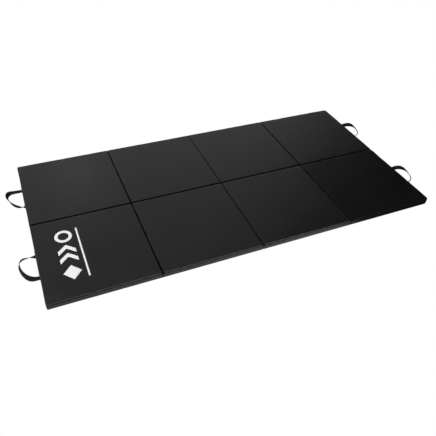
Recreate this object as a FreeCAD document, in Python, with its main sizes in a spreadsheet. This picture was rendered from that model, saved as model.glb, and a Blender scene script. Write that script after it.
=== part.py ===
import FreeCAD, Part
import os
import Sketcher

# Folding exercise mat: two strips of four square foam panels, laid side by side.
#
# Frame: +X along the mat's length, +Y across it, +Z up. The origin is the middle of the
# mat on the floor. All lengths are millimetres.
#
# Each strip folds like an accordion. Its outer two folds are hinged at the floor side, so
# the undersides meet, and its middle fold is hinged at the top, so the top faces meet.
# Hook-and-loop tape along the inner long walls holds the two strips together.


# ---------------------------------------------------------------------------------------
# Driving dimensions

DIMENSIONS = [
    ("pitch", 600, "side of one square panel, from fold to fold"),
    ("thickness", 40, "height of a panel, cover to cover"),
    ("fold_gap", 5, "open slot between two panels that fold underside to underside"),
    ("crease_gap", 3, "narrow slot between the two panels that fold top to top"),
    ("join_gap", 6, "slot between the two strips, filled by the hook-and-loop tapes"),
    ("vinyl", 1, "thickness of the cover material"),
    ("outer_corner", 20, "upright corner radius at the mat's four outer corners"),
    ("inner_corner", 8, "upright corner radius at every other panel corner"),
    ("edge_round", 6, "radius of the soft upper edge of a panel"),
    ("lip", 9, "height of the top cover, from its seam to the top face"),
    ("web_clear", 0.2, "clearance between a hinge web and each wall beside it"),
    ("web_height", 14, "height that a hinge web is sewn up the two walls"),
    ("flange", 0.8, "thickness of a hinge web's two sewn flanges"),
    ("webbing_wide", 28, "width of the handle webbing"),
    ("webbing_thick", 2.4, "thickness of the handle webbing"),
    ("handle_span", 160, "distance between the two legs of a handle"),
    ("handle_reach", 95, "how far a handle stands out from its swing axis"),
    ("handle_bend", 50, "radius of a handle's two corners"),
    ("leg_tab", 25, "flat part of a handle leg beside the wall, from the swing axis"),
    ("tab_back", 3.2, "flat part of a handle leg behind the swing axis"),
    ("axis_out", 5, "distance from the end wall to a handle's swing axis"),
    ("axis_high", 16, "height of a handle's swing axis above the floor"),
    ("anchor_long", 212, "length of the patch that holds a handle's two ends"),
    ("anchor_high", 24, "height of that patch"),
    ("anchor_thick", 1.4, "thickness of that patch"),
    ("anchor_round", 5, "corner radius of that patch"),
    ("tape_high", 25, "width of the hook-and-loop tape"),
    ("tape_thick", 2.7, "thickness of one tape with its pile"),
    ("tape_low", 7, "height of the tape's lower edge above the floor"),
    ("tape_short", 20, "bare wall beyond each end of a tape"),
]

doc = FreeCAD.newDocument("folding_mat")
sheet = doc.addObject("Spreadsheet::Sheet", "Sizes")
for row, (alias, number, meaning) in enumerate(DIMENSIONS, start=1):
    sheet.set(f"A{row}", meaning)
    sheet.set(f"B{row}", str(number))
    sheet.setAlias(f"B{row}", alias)
doc.recompute()


class Length:
    """A length as a number, with the expression that binds it to the sheet."""

    def __init__(self, value, text):
        self.value = value
        self.text = text

    def _with(self, other, sign, value):
        other_text = other.text if isinstance(other, Length) else str(other)
        return Length(value, f"({self.text} {sign} {other_text})")

    def __add__(self, other):
        return self._with(other, "+", self.value + number_of(other))

    def __sub__(self, other):
        return self._with(other, "-", self.value - number_of(other))

    def __mul__(self, factor):
        return self._with(factor, "*", self.value * factor)

    def __truediv__(self, factor):
        return self._with(factor, "/", self.value / factor)

    def __neg__(self):
        return self * -1


def number_of(length):
    return length.value if isinstance(length, Length) else length


size = {alias: Length(number, f"Sizes.{alias}") for alias, number, _ in DIMENSIONS}
ZERO = Length(0, "0")


# ---------------------------------------------------------------------------------------
# Drawing helpers

def bind(thing, prop, length):
    thing.setExpression(prop, length.text)


def place(thing, x, y, z, turn=0):
    """Put a sub-part at a bound position, turned about the vertical."""
    thing.Placement = FreeCAD.Placement(
        FreeCAD.Vector(x.value, y.value, z.value),
        FreeCAD.Rotation(FreeCAD.Vector(0, 0, 1), turn),
    )
    for axis, length in (("x", x), ("y", y), ("z", z)):
        bind(thing, f"Placement.Base.{axis}", length)


def new_body(name):
    body = doc.addObject("PartDesign::Body", name)
    body.Label = name
    return body


def new_sketch(body, name, plane="XY_Plane", away=ZERO):
    """A sketch on one of the body's own origin planes, or parallel to it."""
    sketch = body.newObject("Sketcher::SketchObject", name)
    origin_plane = next(p for p in body.Origin.OriginFeatures if p.Role == plane)
    sketch.AttachmentSupport = [(origin_plane, "")]
    sketch.MapMode = "FlatFace"
    bind(sketch, "AttachmentOffset.Base.z", away)
    return sketch


def dimension(sketch, kind, where, length):
    """Add a driving constraint whose value comes from the sheet."""
    index = sketch.addConstraint(Sketcher.Constraint(kind, *where, length.value))
    bind(sketch, f"Constraints[{index}]", length)


def pin_point(sketch, curve, end, kind, length):
    """Fix one coordinate of a curve's end, measured from the sketch's origin."""
    if length.value < 0:
        dimension(sketch, kind, (curve, end, -1, 1), -length)
    else:
        dimension(sketch, kind, (-1, 1, curve, end), length)


def add_lines(sketch, points):
    """A closed outline of upright and level lines through (x, y) pairs of lengths."""
    first = sketch.GeometryCount
    spots = [FreeCAD.Vector(x.value, y.value, 0) for x, y in points]
    last = len(points) - 1
    for i, spot in enumerate(spots):
        sketch.addGeometry(Part.LineSegment(spot, spots[0 if i == last else i + 1]), False)
    for i, (x, y) in enumerate(points):
        line = first + i
        before = first + (last if i == 0 else i - 1)
        upright = abs(spots[i].x - spots[0 if i == last else i + 1].x) < 1e-6
        sketch.addConstraint(Sketcher.Constraint("Coincident", before, 2, line, 1))
        sketch.addConstraint(Sketcher.Constraint("Vertical" if upright else "Horizontal", line))
        # an upright line is placed by its x, a level one by its y
        if upright:
            pin_point(sketch, line, 1, "DistanceX", x)
        else:
            pin_point(sketch, line, 1, "DistanceY", y)


def add_rounded_box(sketch, half_x, half_y, radius):
    """A box about the sketch's origin; radius gives each corner's own, by its signs."""
    first = sketch.GeometryCount
    hx, hy = half_x.value, half_y.value
    r = {corner: length.value for corner, length in radius.items()}
    v = FreeCAD.Vector
    lines = [
        (v(-hx + r[-1, -1], -hy, 0), v(hx - r[1, -1], -hy, 0)),
        (v(hx, -hy + r[1, -1], 0), v(hx, hy - r[1, 1], 0)),
        (v(hx - r[1, 1], hy, 0), v(-hx + r[-1, 1], hy, 0)),
        (v(-hx, hy - r[-1, 1], 0), v(-hx, -hy + r[-1, -1], 0)),
    ]
    for start, end in lines:
        sketch.addGeometry(Part.LineSegment(start, end), False)
    quarter = 1.5707963267948966
    corners = [(1, -1), (1, 1), (-1, 1), (-1, -1)]
    for i, (sx, sy) in enumerate(corners):
        centre = v(sx * (hx - r[sx, sy]), sy * (hy - r[sx, sy]), 0)
        circle = Part.Circle(centre, v(0, 0, 1), r[sx, sy])
        sketch.addGeometry(Part.ArcOfCircle(circle, (i - 1) * quarter, i * quarter), False)
    for i, corner in enumerate(corners):
        line, arc = first + i, first + 4 + i
        following = first + (0 if i == 3 else i + 1)
        sketch.addConstraint(Sketcher.Constraint("Tangent", line, 2, arc, 1))
        sketch.addConstraint(Sketcher.Constraint("Tangent", arc, 2, following, 1))
        level = i in (0, 2)
        sketch.addConstraint(Sketcher.Constraint("Horizontal" if level else "Vertical", line))
        dimension(sketch, "Radius", (arc,), radius[corner])
    pin_point(sketch, first, 1, "DistanceY", -half_y)
    pin_point(sketch, first + 1, 1, "DistanceX", half_x)
    pin_point(sketch, first + 2, 1, "DistanceY", half_y)
    pin_point(sketch, first + 3, 1, "DistanceX", -half_x)


def pad(body, sketch, length, middle=False):
    feature = body.newObject("PartDesign::Pad", f"{body.Name}_pad_{len(body.Group)}")
    feature.Profile = sketch
    bind(feature, "Length", length)
    feature.Midplane = middle
    sketch.Visibility = False
    return feature


def round_edges_at(body, base, height, radius):
    """Fillet every edge of the base feature that lies at one height in the body."""
    doc.recompute()
    names = []
    for i, edge in enumerate(base.Shape.Edges, start=1):
        box = edge.BoundBox
        if abs(box.ZMin - height.value) < 1e-4 and abs(box.ZMax - height.value) < 1e-4:
            names.append(f"Edge{i}")
    fillet = body.newObject("PartDesign::Fillet", f"{body.Name}_round")
    fillet.Base = (base, names)
    bind(fillet, "Radius", radius)
    return fillet


# ---------------------------------------------------------------------------------------
# Where each panel lies

ROWS = ("front", "back")
COLUMNS = (1, 2, 3, 4)
FOLDS = (1, 2, 3)

pitch = size["pitch"]
half_fold = size["fold_gap"] / 2
half_crease = size["crease_gap"] / 2
half_join = size["join_gap"] / 2

# the five lines across the mat, left end to right end, and the half gap at each
LINE_X = [pitch * -2, pitch * -1, ZERO, pitch, pitch * 2]
HALF_GAP = [ZERO, half_fold, half_crease, half_fold, ZERO]

strip_width = pitch - half_join
STRIP_Y = {"front": (pitch + half_join) / -2, "back": (pitch + half_join) / 2}
OUTER_SIDE = {"front": -1, "back": 1}


class Panel:
    """One square panel: its name, its centre and half sizes, and its corner radii."""

    def __init__(self, row, column):
        left = LINE_X[column - 1] + HALF_GAP[column - 1]
        right = LINE_X[column] - HALF_GAP[column]
        self.name = f"{row}_{column}"
        self.x = (left + right) / 2
        self.y = STRIP_Y[row]
        self.half_x = (right - left) / 2
        self.half_y = strip_width / 2
        end = {1: -1, 4: 1}.get(column)
        self.radius = {
            (sx, sy): size["outer_corner"]
            if sx == end and sy == OUTER_SIDE[row]
            else size["inner_corner"]
            for sx in (-1, 1)
            for sy in (-1, 1)
        }

    def outline(self, sketch, inset):
        """Draw the panel's outline, a given distance inside its outer surface."""
        radius = {corner: length - inset for corner, length in self.radius.items()}
        add_rounded_box(sketch, self.half_x - inset, self.half_y - inset, radius)


PANELS = {(row, column): Panel(row, column) for row in ROWS for column in COLUMNS}
subparts = []


# ---------------------------------------------------------------------------------------
# The panels: a foam block in a cover of three sewn pieces

def make_foam_core(panel):
    """Closed-cell foam block that fills the cover, with its upper edge eased."""
    body = new_body(f"foam_core_{panel.name}")
    sketch = new_sketch(body, f"{body.Name}_sketch", away=size["vinyl"])
    panel.outline(sketch, size["vinyl"])
    block = pad(body, sketch, size["thickness"] - size["vinyl"] * 2)
    top = size["thickness"] - size["vinyl"]
    round_edges_at(body, block, top, size["edge_round"] - size["vinyl"])
    place(body, panel.x, panel.y, ZERO)
    return body


def make_top_cover(panel, core):
    """Top sheet of the cover, turned down over the soft edge to the seam."""
    name = f"top_cover_{panel.name}"
    blank = new_body(f"{name}_blank")
    sketch = new_sketch(blank, f"{name}_sketch", away=size["thickness"] - size["lip"])
    panel.outline(sketch, ZERO)
    block = pad(blank, sketch, size["lip"])
    round_edges_at(blank, block, size["thickness"], size["edge_round"])
    place(blank, panel.x, panel.y, ZERO)
    cover = doc.addObject("Part::Cut", name)
    cover.Label = name
    cover.Base = blank
    cover.Tool = core
    return cover


def make_side_wall(panel):
    """Band of cover material around the panel, between the top seam and the base seam."""
    body = new_body(f"side_wall_{panel.name}")
    sketch = new_sketch(body, f"{body.Name}_sketch", away=size["vinyl"])
    panel.outline(sketch, ZERO)
    panel.outline(sketch, size["vinyl"])
    pad(body, sketch, size["thickness"] - size["lip"] - size["vinyl"])
    place(body, panel.x, panel.y, ZERO)
    return body


def make_bottom_cover(panel):
    """Flat sheet that the panel lies on."""
    body = new_body(f"bottom_cover_{panel.name}")
    sketch = new_sketch(body, f"{body.Name}_sketch")
    panel.outline(sketch, ZERO)
    pad(body, sketch, size["vinyl"])
    place(body, panel.x, panel.y, ZERO)
    return body


for panel in PANELS.values():
    foam_core = make_foam_core(panel)
    subparts += [
        foam_core,
        make_top_cover(panel, foam_core),
        make_side_wall(panel),
        make_bottom_cover(panel),
    ]


# ---------------------------------------------------------------------------------------
# The hinge webs: a strip of cover material sewn to both walls of a fold

def make_hinge_web(row, fold):
    """Channel-shaped web, open upwards at an outer fold and downwards at the middle one."""
    body = new_body(f"hinge_web_{row}_{fold}")
    # the drawing plane looks along the fold; its second direction is up
    sketch = new_sketch(body, f"{body.Name}_sketch", "XZ_Plane")
    outside = HALF_GAP[fold] - size["web_clear"]
    inside = outside - size["flange"]
    at_top = fold == 2
    if at_top:
        closed = size["thickness"] - size["vinyl"]
        under = closed - size["vinyl"]
        tips = closed - size["web_height"]
    else:
        closed = ZERO
        under = size["vinyl"]
        tips = size["web_height"]
    add_lines(
        sketch,
        [
            (-outside, closed),
            (outside, closed),
            (outside, tips),
            (inside, tips),
            (inside, under),
            (-inside, under),
            (-inside, tips),
            (-outside, tips),
        ],
    )
    pad(body, sketch, strip_width - size["inner_corner"] * 2, middle=True)
    place(body, LINE_X[fold], STRIP_Y[row], ZERO)
    return body


for row in ROWS:
    for fold in FOLDS:
        subparts.append(make_hinge_web(row, fold))


# ---------------------------------------------------------------------------------------
# The carry handles: webbing loops, one in the middle of each strip's end

def make_handle_anchor(row, side, sign):
    """Patch sewn to the end wall over the two ends of a handle."""
    body = new_body(f"handle_anchor_{row}_{side}")
    sketch = new_sketch(body, f"{body.Name}_sketch", "YZ_Plane")
    corners = {(sx, sy): size["anchor_round"] for sx in (-1, 1) for sy in (-1, 1)}
    add_rounded_box(sketch, size["anchor_long"] / 2, size["anchor_high"] / 2, corners)
    pad(body, sketch, size["anchor_thick"])
    turn = 0 if sign > 0 else 180
    place(body, pitch * (2 * sign), STRIP_Y[row], size["axis_high"], turn)
    return body


def draw_handle_path(sketch):
    """Middle line of the webbing: out along one leg, round two bends and back."""
    half_span = size["handle_span"] / 2
    bend = size["handle_bend"]
    reach = size["handle_reach"]
    v = FreeCAD.Vector
    start_x = size["leg_tab"].value
    side_y, bend_r, far_x = half_span.value, bend.value, reach.value
    mid_x, mid_y = far_x - bend_r, side_y - bend_r
    quarter = 1.5707963267948966
    up = v(0, 0, 1)
    curves = [
        Part.LineSegment(v(start_x, -side_y, 0), v(mid_x, -side_y, 0)),
        Part.ArcOfCircle(Part.Circle(v(mid_x, -mid_y, 0), up, bend_r), -quarter, 0),
        Part.LineSegment(v(far_x, -mid_y, 0), v(far_x, mid_y, 0)),
        Part.ArcOfCircle(Part.Circle(v(mid_x, mid_y, 0), up, bend_r), 0, quarter),
        Part.LineSegment(v(mid_x, side_y, 0), v(start_x, side_y, 0)),
    ]
    for curve in curves:
        sketch.addGeometry(curve, False)
    for before in range(4):
        sketch.addConstraint(Sketcher.Constraint("Tangent", before, 2, before + 1, 1))
    for curve, kind in ((0, "Horizontal"), (2, "Vertical"), (4, "Horizontal")):
        sketch.addConstraint(Sketcher.Constraint(kind, curve))
    dimension(sketch, "Radius", (1,), bend)
    dimension(sketch, "Radius", (3,), bend)
    pin_point(sketch, 0, 1, "DistanceX", size["leg_tab"])
    pin_point(sketch, 0, 1, "DistanceY", -half_span)
    pin_point(sketch, 2, 1, "DistanceX", reach)
    pin_point(sketch, 4, 2, "DistanceX", size["leg_tab"])
    pin_point(sketch, 4, 2, "DistanceY", half_span)


def make_carry_handle(row, side, sign):
    """Webbing loop: two flat tabs at the wall, then the band standing on its edge."""
    body = new_body(f"carry_handle_{row}_{side}")
    half_wide = size["webbing_wide"] / 2
    half_thick = size["webbing_thick"] / 2
    half_span = size["handle_span"] / 2

    path = new_sketch(body, f"{body.Name}_path")
    draw_handle_path(path)
    section = new_sketch(body, f"{body.Name}_section", "YZ_Plane", size["leg_tab"])
    add_lines(
        section,
        [
            (-half_span - half_thick, -half_wide),
            (-half_span + half_thick, -half_wide),
            (-half_span + half_thick, half_wide),
            (-half_span - half_thick, half_wide),
        ],
    )
    doc.recompute()
    band = body.newObject("PartDesign::AdditivePipe", f"{body.Name}_band")
    band.Profile = section
    band.Spine = (path, [])
    path.Visibility = False
    section.Visibility = False

    # each tab runs a webbing's thickness into the standing band, which it carries
    for end in (-1, 1):
        tab = new_sketch(body, f"{body.Name}_tab_{'low' if end < 0 else 'high'}")
        near = half_span * end - half_wide
        far = half_span * end + half_wide
        tip = size["leg_tab"] + size["webbing_thick"]
        back = -size["tab_back"]
        add_lines(tab, [(back, near), (tip, near), (tip, far), (back, far)])
        pad(body, tab, size["webbing_thick"], middle=True)

    turn = 0 if sign > 0 else 180
    axis_x = (pitch * 2 + size["axis_out"]) * sign
    place(body, axis_x, STRIP_Y[row], size["axis_high"], turn)
    return body


for row in ROWS:
    for side, sign in (("left", -1), ("right", 1)):
        subparts.append(make_handle_anchor(row, side, sign))
        subparts.append(make_carry_handle(row, side, sign))


# ---------------------------------------------------------------------------------------
# The hook-and-loop tapes: hooks on the front strip, loops on the back strip

def make_tape(name, panel, low_y):
    """One tape on a panel's inner long wall."""
    tape = doc.addObject("Part::Box", name)
    tape.Label = name
    bind(tape, "Length", panel.half_x * 2 - size["tape_short"] * 2)
    bind(tape, "Width", size["tape_thick"])
    bind(tape, "Height", size["tape_high"])
    place(tape, panel.x - panel.half_x + size["tape_short"], low_y, size["tape_low"])
    return tape


for column in COLUMNS:
    front, back = PANELS["front", column], PANELS["back", column]
    subparts.append(make_tape(f"hook_tape_front_{column}", front, -half_join))
    back_low = half_join - size["tape_thick"]
    subparts.append(make_tape(f"loop_tape_back_{column}", back, back_low))


# ---------------------------------------------------------------------------------------
# Test the document, then write one file for each sub-part

doc.recompute()
for thing in doc.Objects:
    if "Invalid" in thing.State or "Error" in thing.State:
        raise RuntimeError(f"{thing.Name} did not rebuild: {thing.State}")
for part in subparts:
    if part.Shape.isNull() or not part.Shape.isValid():
        raise RuntimeError(f"{part.Label} has no valid shape")
    if len(part.Shape.Solids) != 1:
        raise RuntimeError(f"{part.Label} is {len(part.Shape.Solids)} solids, not one")

os.makedirs("parts", exist_ok=True)
for part in subparts:
    part.Shape.exportStep(f"parts/{part.Label}.step")

whole = FreeCAD.BoundBox()
for part in subparts:
    whole.add(part.Shape.BoundBox)
print(f"{len(subparts)} sub-parts, overall {whole.XLength:.1f} x {whole.YLength:.1f} x {whole.ZLength:.1f} mm")
for part in subparts:
    if part.Label.endswith(("_1", "_left")):
        print(f"  {part.Label}: {part.Shape.Volume / 1000:.1f} cm3")
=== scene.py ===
# %% [markdown]
# # A folding gym mat, made to be looked at
#
# The mat is eight square foam panels in black vinyl covers. They make two strips of four,
# and each strip folds like an accordion. Its design, sizes and joints come from a CAD
# model, which is loaded here as a fixed frame. Every piece below is built around that
# frame, in metres, with +X along the mat, +Y across it and +Z up. Most pieces then ride
# on the CAD body that they belong to; the hinge webs and the handle straps are left
# unparented, in their rest places.

# %% Load the frame
import bisect
import math

import bmesh
import bpy
from mathutils import Matrix, Quaternion, Vector, noise
from mathutils.bvhtree import BVHTree


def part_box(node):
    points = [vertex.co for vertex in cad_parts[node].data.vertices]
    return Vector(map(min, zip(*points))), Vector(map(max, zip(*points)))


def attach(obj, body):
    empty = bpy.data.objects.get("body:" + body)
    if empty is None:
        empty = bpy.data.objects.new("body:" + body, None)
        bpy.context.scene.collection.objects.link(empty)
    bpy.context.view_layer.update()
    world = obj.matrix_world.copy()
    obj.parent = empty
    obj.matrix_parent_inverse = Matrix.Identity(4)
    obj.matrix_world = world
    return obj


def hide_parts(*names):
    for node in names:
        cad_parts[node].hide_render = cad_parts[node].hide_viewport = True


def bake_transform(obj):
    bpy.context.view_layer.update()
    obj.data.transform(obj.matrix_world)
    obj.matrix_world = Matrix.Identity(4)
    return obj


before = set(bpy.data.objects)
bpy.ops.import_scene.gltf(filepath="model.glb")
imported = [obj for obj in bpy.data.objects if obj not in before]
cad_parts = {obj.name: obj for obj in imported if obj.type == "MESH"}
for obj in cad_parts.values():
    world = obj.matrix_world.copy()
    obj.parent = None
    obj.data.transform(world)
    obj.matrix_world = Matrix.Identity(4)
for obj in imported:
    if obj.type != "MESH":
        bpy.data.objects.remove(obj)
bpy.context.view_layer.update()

scene = bpy.context.scene
ROWS = ("front", "back")
COLUMNS = (1, 2, 3, 4)
FOLDS = (1, 2, 3)
MM = 0.001

# %% [markdown]
# ## The camera
#
# A camera looks along its own -Z. It could be aimed with a Track To constraint, but a
# quaternion from `to_track_quat` does the same once and leaves nothing live. The last few
# degrees are roll, a turn about the line of sight. A small lens shift slides the picture
# sideways without turning the camera.

# %% Place the camera
CAMERA_PLACE = Vector((-1.103, -2.167, 1.917))
LOOK_ROUND = math.radians(24.85)
LOOK_DOWN = math.radians(42.07)
ROLL = math.radians(3.34)


def add_camera():
    """A camera on a tall tripod at the mat's front left, looking down and to the right."""
    data = bpy.data.cameras.new("camera")
    data.lens = 38.9
    data.sensor_width = 36
    data.shift_x = 0.03
    camera = bpy.data.objects.new("camera", data)
    scene.collection.objects.link(camera)
    level = math.cos(LOOK_DOWN)
    sight = Vector((math.sin(LOOK_ROUND) * level, math.cos(LOOK_ROUND) * level, -math.sin(LOOK_DOWN)))
    camera.rotation_mode = "QUATERNION"
    camera.rotation_quaternion = Quaternion(sight, -ROLL) @ sight.to_track_quat("-Z", "Y")
    camera.location = CAMERA_PLACE
    scene.camera = camera
    print("camera looks along", [round(v, 3) for v in sight])


add_camera()

# %% [markdown]
# ## Shader maths as plain Python
#
# A material is a graph of nodes. Linking dozens of Math nodes by hand hides what they
# work out, so a small class wraps one output socket and overloads the operators: writing
# `1 - mask * 0.5` adds the Math nodes for it. One method, `node`, makes any other node
# from its type, its settings and the values or links of its sockets.

# %% Wrap a socket and a material


class Signal:
    """A node's output, with the arithmetic that adds Math nodes."""

    def __init__(self, finish, socket):
        self.finish = finish
        self.socket = socket

    def _math(self, operation, first, second=None):
        inputs = {0: first} if second is None else {0: first, 1: second}
        return self.finish.node("ShaderNodeMath", {"operation": operation}, inputs)

    def __add__(self, other):
        return self._math("ADD", self, other)

    def __radd__(self, other):
        return self._math("ADD", other, self)

    def __sub__(self, other):
        return self._math("SUBTRACT", self, other)

    def __rsub__(self, other):
        return self._math("SUBTRACT", other, self)

    def __mul__(self, other):
        return self._math("MULTIPLY", self, other)

    def __rmul__(self, other):
        return self._math("MULTIPLY", other, self)

    def __truediv__(self, other):
        return self._math("DIVIDE", self, other)

    def __pow__(self, other):
        return self._math("POWER", self, other)

    def __mod__(self, other):
        return self._math("FLOORED_MODULO", self, other)

    def __gt__(self, other):
        return self._math("GREATER_THAN", self, other)

    def sine(self):
        return self._math("SINE", self)

    def size(self):
        return self._math("ABSOLUTE", self)


class Finish:
    """A node tree and the one method that adds nodes to it."""

    def __init__(self, owner):
        owner.use_nodes = True
        self.tree = owner.node_tree
        self.tree.nodes.clear()

    def node(self, kind, settings=None, inputs=None, out=0):
        """Add a node, apply its settings, then fill its sockets with values or links."""
        made = self.tree.nodes.new(kind)
        for name, value in (settings or {}).items():
            if name == "stops":
                self._set_stops(made.color_ramp, value)
            else:
                setattr(made, name, value)
        for name, value in (inputs or {}).items():
            if isinstance(value, Signal):
                self.tree.links.new(value.socket, made.inputs[name])
            else:
                made.inputs[name].default_value = value
        return Signal(self, made.outputs[out]) if made.outputs else None

    @staticmethod
    def _set_stops(ramp, stops):
        while len(ramp.elements) < len(stops):
            ramp.elements.new(0.5)
        for element, (position, shade) in zip(ramp.elements, stops):
            element.position = position
            element.color = (shade, shade, shade, 1)

    def mix(self, amount, first, second):
        """Blend two colours."""
        settings = {"data_type": "RGBA", "blend_type": "MIX"}
        return self.node("ShaderNodeMix", settings, {0: amount, 6: first, 7: second}, out=2)

    def place(self):
        return self.node("ShaderNodeTexCoord", out="Object")

    def read(self, name):
        """A number stored on the mesh's vertices."""
        return self.node("ShaderNodeAttribute", {"attribute_name": name}, out="Fac")

    def spots(self, scale, detail=2.0, roughness=0.5, warp=0.0, where=None):
        inputs = {"Vector": where or self.place(), "Scale": scale, "Detail": detail}
        inputs.update({"Roughness": roughness, "Distortion": warp})
        return self.node("ShaderNodeTexNoise", None, inputs)

    def bump(self, height, strength, depth, under=None):
        inputs = {"Height": height, "Strength": strength, "Distance": depth}
        if under is not None:
            inputs["Normal"] = under
        return self.node("ShaderNodeBump", None, inputs)

    def surface(self, matt=None, **inputs):
        """The Principled shader, with painted shade mixed in as a nearly black diffuse where that
        number is one, joined to the output.
        """
        named = {name.replace("_", " "): value for name, value in inputs.items()}
        shader = self.node("ShaderNodeBsdfPrincipled", None, named)
        if matt is not None:
            # Painted shade: a nearly black diffuse shader that takes the place of the vinyl's
            # reflection.
            painted_dark = self.node("ShaderNodeBsdfDiffuse", None, {"Color": grey(0.003)})
            shader = self.node("ShaderNodeMixShader", None, {0: matt, 1: shader, 2: painted_dark})
        self.node("ShaderNodeOutputMaterial", None, {"Surface": shader})


def new_finish(name):
    material = bpy.data.materials.new(name)
    return material, Finish(material)


def grey(shade, warmth=0.0):
    return (shade * (1 + warmth), shade, shade * (1 - warmth), 1)


# %% [markdown]
# ## The studio
#
# Satin vinyl shows what it reflects more than its own colour, so what counts is how bright
# each side of the studio is. A lamp could light the mat from one side, but its reflection
# would be a spot. So most of the light comes from the world: a pale room, darker overhead,
# with a black cloth, which studios call a flag, hung at the mat's right. Where the camera
# looks straight at the world or the floor they are plain white. Three lamps do the rest: a
# long strip behind the camera draws the bright line on the front edge, a soft key at the
# left lights the white print, and a small one at the back makes a faint glint. The floor is
# some way below the mat, because two of the folded panels swing under the one that stays put.

# %% Build the floor, the world and the lights
FLOOR_DROP = 0.13
FLOOR_RADIUS = 40.0
FLAG_ROUND = math.radians(95)
FLAG_UP = math.radians(25)


def add_floor():
    bm = bmesh.new()
    bmesh.ops.create_circle(bm, cap_ends=True, radius=FLOOR_RADIUS, segments=64)
    bmesh.ops.translate(bm, verts=bm.verts, vec=(0, 0, -FLOOR_DROP))
    mesh = bpy.data.meshes.new("studio_floor")
    bm.to_mesh(mesh)
    bm.free()
    floor = bpy.data.objects.new("studio_floor", mesh)
    scene.collection.objects.link(floor)
    material, f = new_finish("pale_floor")
    # The floor glows rather than being lit: plain white where the camera sees it, and toward the mat
    # an emitted light that is bright from the left to past the middle and nearly dark under the
    # right-hand panels.
    seen = f.node("ShaderNodeLightPath", out="Is Camera Ray")
    along = f.node("ShaderNodeSeparateXYZ", None, {"Vector": f.place()}, out="X")
    reach = f.node("ShaderNodeMapRange", None, {"Value": along, 1: -1.5, 2: 1.5, 3: 0.0, 4: 1.0})
    ramp = {"stops": [(0.0, 0.62), (0.45, 0.80), (0.72, 0.80), (0.77, 0.05), (1.0, 0.0)]}
    reflected = f.node("ShaderNodeValToRGB", ramp, {"Fac": reach})
    glow = f.node("ShaderNodeEmission", None, {"Color": f.mix(seen, reflected, grey(1.0))})
    f.node("ShaderNodeOutputMaterial", None, {"Surface": glow})
    mesh.materials.append(material)


def add_world():
    """White to the camera; to the mat, a pale room, darker overhead and black at its right."""
    world = bpy.data.worlds.new("studio")
    scene.world = world
    f = Finish(world)
    direction = f.node("ShaderNodeTexCoord", out="Generated")
    height = f.node("ShaderNodeSeparateXYZ", None, {"Vector": direction}, out="Z")
    walls = {"stops": [
        (0.0, 0.80), (0.30, 0.75), (0.46, 0.50), (0.60, 0.42), (0.72, 0.35), (1.0, 0.30),
    ]}
    room = f.node("ShaderNodeValToRGB", walls, {"Fac": height})
    level = math.cos(FLAG_UP)
    flag = (math.sin(FLAG_ROUND) * level, math.cos(FLAG_ROUND) * level, math.sin(FLAG_UP))
    settings = {"operation": "DOT_PRODUCT"}
    facing = f.node("ShaderNodeVectorMath", settings, {0: direction, 1: flag}, out="Value")
    shade = {"stops": [
        (0.0, 0.97), (0.25, 0.97), (0.40, 1.0), (0.50, 0.98), (0.56, 0.93),
        (0.61, 0.81), (0.65, 0.32), (0.68, 0.04), (0.76, 0.0), (1.0, 0.12),
    ]}
    open_side = f.node("ShaderNodeValToRGB", shade, {"Fac": facing})
    seen = f.node("ShaderNodeLightPath", out="Is Camera Ray")
    reflected = f.node("ShaderNodeMix", {"data_type": "RGBA", "blend_type": "MULTIPLY"},
                       {0: 1.0, 6: room, 7: open_side}, out=2)
    background = f.node("ShaderNodeBackground", None, {"Color": f.mix(seen, reflected, grey(1.0))})
    f.node("ShaderNodeOutputWorld", None, {"Surface": background})


def add_softbox(name, place, aim, width, depth, power):
    data = bpy.data.lights.new(name, "AREA")
    data.shape = "RECTANGLE"
    data.size = width
    data.size_y = depth
    data.energy = power
    light = bpy.data.objects.new(name, data)
    scene.collection.objects.link(light)
    light.location = place
    light.rotation_mode = "QUATERNION"
    light.rotation_quaternion = (Vector(aim) - Vector(place)).to_track_quat("-Z", "Y")


add_floor()
add_world()
add_softbox("front_strip", (0.8, -3.5, 2.7), (0.0, -0.6, 0.0), 4.0, 0.8, 65)
add_softbox("left_key", (-3.2, 0.2, 3.6), (-0.8, 0.0, 0.0), 1.5, 1.5, 115)
add_softbox("back_glint", (-0.64, 2.8, 1.81), (-0.86, 0.39, 0.0), 0.35, 0.35, 0.45)
scene.view_settings.view_transform = "Standard"

# %% [markdown]
# ## Finishes
#
# The cover is vinyl-coated cloth, pressed with a fine pebble like leather. At arm's length
# it reads as one satin black, so most of its character is in roughness: the pebble breaks
# up the highlight, slow cloudy changes show where hands and feet have polished it, and
# long streaks show where it was wiped. A Voronoi texture gives pebbles, noise gives the
# clouds, and noise squeezed by a Mapping node gives the streaks. Where the cover turns over
# the foam's edge it is stretched, so the mesh stores a `rim` number there, which smooths the
# pebble; the same number lightens the colour a little as a painted highlight along the edge.
# A second number on the mesh is painted shade: it mixes in a plain, nearly black diffuse
# shader in the seam grooves, the slots and lips of the folds, and over panels that get less light.

# %% Mix the vinyls


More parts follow.
